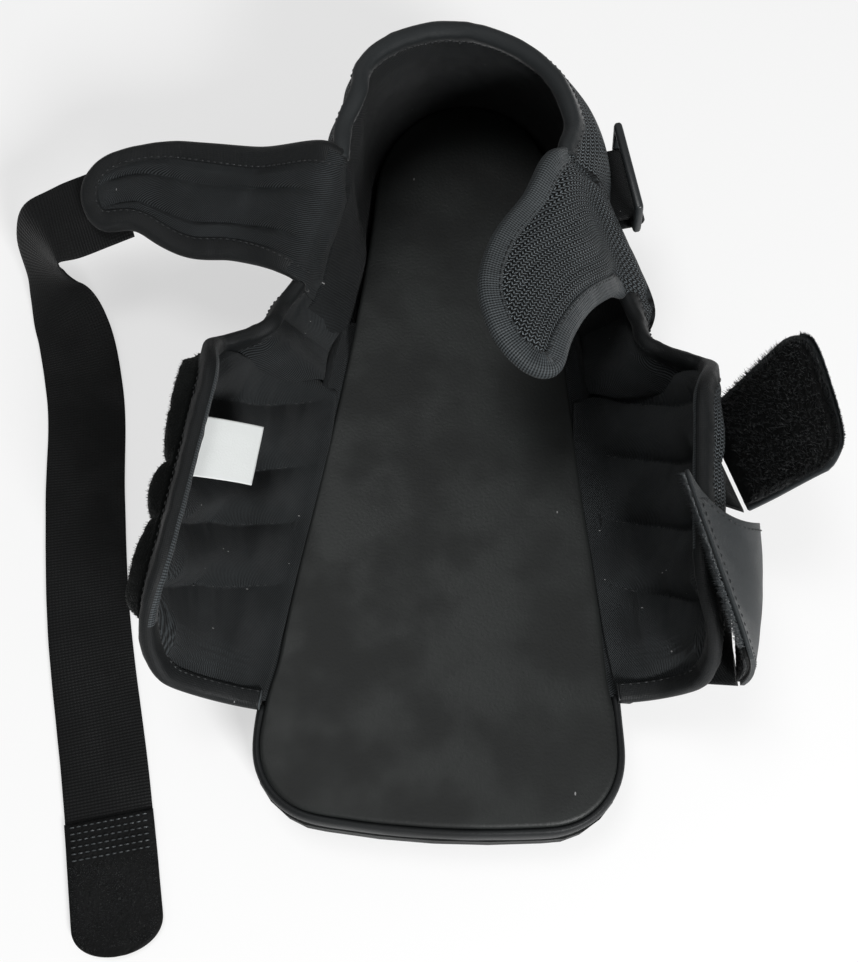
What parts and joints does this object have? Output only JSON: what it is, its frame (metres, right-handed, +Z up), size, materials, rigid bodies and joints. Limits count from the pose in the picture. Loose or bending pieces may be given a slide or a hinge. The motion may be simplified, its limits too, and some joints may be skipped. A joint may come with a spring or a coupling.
{
  "type": "padded foot guard",
  "caption": "Open-toe padded foot guard on a flat sole, with folding instep and ankle wings, hook straps and a long loose elastic ankle strap.",
  "frame": {"origin": "on the ground, at the middle of the outsole's underside", "axes": "+Z up out of the sole, +Y towards the heel, -Y towards the open toe, +X to the side of the keeper ring and the two hook straps"},
  "size_m": [0.3034, 0.3433, 0.0986],
  "materials": {
    "footbed_fabric": "smooth, fine-grained, matt",
    "board": "matt fibre board",
    "sole_rubber": "matt",
    "eva_foam": "matt foam",
    "brushed_lining": "brushed nap",
    "pad_foam": "open-cell foam",
    "spacer_mesh": "open air mesh",
    "binding_tape": "ribbed tape",
    "loop_pile": "fuzzy loop pile",
    "hook_tape": "hook tape",
    "strap_backing": "smooth laminated cloth",
    "webbing": "ribbed elastic webbing",
    "black_plastic": "moulded",
    "heel_board": "thin moulded board",
    "label_tape": "plain woven tape"
  },
  "bodies": {
    "sole": {"outsole": "sole_rubber", "midsole": "eva_foam", "insole_board": "board", "footbed": "footbed_fabric", "toe_rand": "footbed_fabric", "right_side_rand": "footbed_fabric", "left_side_rand": "footbed_fabric", "collar_shell": "spacer_mesh", "collar_lining": "brushed_lining", "heel_counter": "heel_board", "collar_heel_pad": "pad_foam", "collar_left_pad": "pad_foam", "collar_right_pad": "pad_foam", "left_waist_pad": "pad_foam", "right_waist_pad": "pad_foam", "collar_binding": "binding_tape", "right_notch_binding": "binding_tape", "left_notch_binding": "binding_tape", "ring_tab": "webbing"},
    "left_instep": {"left_instep_shell": "spacer_mesh", "left_instep_lining": "brushed_lining", "left_instep_pad_1": "pad_foam", "left_instep_pad_2": "pad_foam", "left_instep_pad_3": "pad_foam", "left_instep_pad_4": "pad_foam", "left_instep_pad_5": "pad_foam", "left_instep_binding": "binding_tape", "left_loop_panel": "loop_pile", "size_label": "label_tape"},
    "right_instep": {"right_instep_shell": "spacer_mesh", "right_instep_lining": "brushed_lining", "right_instep_pad_1": "pad_foam", "right_instep_pad_2": "pad_foam", "right_instep_pad_3": "pad_foam", "right_instep_pad_4": "pad_foam", "right_instep_pad_5": "pad_foam", "right_instep_binding": "binding_tape", "upper_strap_anchor": "webbing", "lower_strap_anchor": "webbing"},
    "left_ankle": {"left_ankle_shell": "spacer_mesh", "left_ankle_lining": "brushed_lining", "left_ankle_pad_1": "pad_foam", "left_ankle_pad_2": "pad_foam", "left_ankle_pad_3": "pad_foam", "left_ankle_binding": "binding_tape"},
    "right_ankle": {"right_ankle_shell": "spacer_mesh", "right_ankle_lining": "brushed_lining", "right_ankle_pad_1": "pad_foam", "right_ankle_pad_2": "pad_foam", "right_ankle_pad_3": "pad_foam", "right_ankle_binding": "binding_tape"},
    "ankle_strap": {"ankle_strap_webbing": "webbing", "ankle_strap_hook_tab": "hook_tape"},
    "upper_strap": {"upper_strap_backing": "strap_backing", "upper_strap_hook": "hook_tape"},
    "lower_strap": {"lower_strap_backing": "strap_backing", "lower_strap_hook": "hook_tape"},
    "strap_ring": {"strap_ring": "black_plastic"}
  },
  "joints": [
    {"name": "left_instep_fold", "type": "hinge", "parent": "sole", "child": "left_instep", "pos_m": [-0.05581, -0.049, 0.0245], "axis": [-0.1226, -0.9925, 0], "range_deg": [-50, 25]},
    {"name": "right_instep_fold", "type": "hinge", "parent": "sole", "child": "right_instep", "pos_m": [0.05581, -0.049, 0.0245], "axis": [-0.1226, 0.9925, 0], "range_deg": [-40, 25]},
    {"name": "left_ankle_fold", "type": "hinge", "parent": "sole", "child": "left_ankle", "pos_m": [-0.05175, 0.0585, 0.0635], "axis": [0.305, 0.6521, 0.6941], "range_deg": [0, 120]},
    {"name": "right_ankle_fold", "type": "hinge", "parent": "sole", "child": "right_ankle", "pos_m": [0.046, 0.058, 0.067], "axis": [0.4614, -0.5323, -0.7098], "range_deg": [-75, 5]},
    {"name": "ankle_strap_swing", "type": "hinge", "parent": "left_ankle", "child": "ankle_strap", "pos_m": [-0.13936, 0.07347, 0.04177], "axis": [0.0693, -0.2511, 0.9655], "range_deg": [-84, 0]},
    {"name": "upper_strap_peel", "type": "hinge", "parent": "right_instep", "child": "upper_strap", "pos_m": [0.09465, -0.019, 0.04262], "axis": [0.223, -0.9192, 0.3245], "range_deg": [-50, 5]},
    {"name": "lower_strap_peel", "type": "hinge", "parent": "right_instep", "child": "lower_strap", "pos_m": [0.09567, -0.075, 0.04267], "axis": [0.026, -0.9996, 0.0141], "range_deg": [-85, 5]},
    {"name": "strap_ring_pivot", "type": "hinge", "parent": "sole", "child": "strap_ring", "pos_m": [0.05964, 0.08342, 0.05598], "axis": [-0.2017, 0.9795, 0], "range_deg": [-10, 80]}
  ],
  "couplings": [
    {"joint": "ankle_strap_swing", "follows": "left_ankle_fold", "ratio": -0.7}
  ]
}
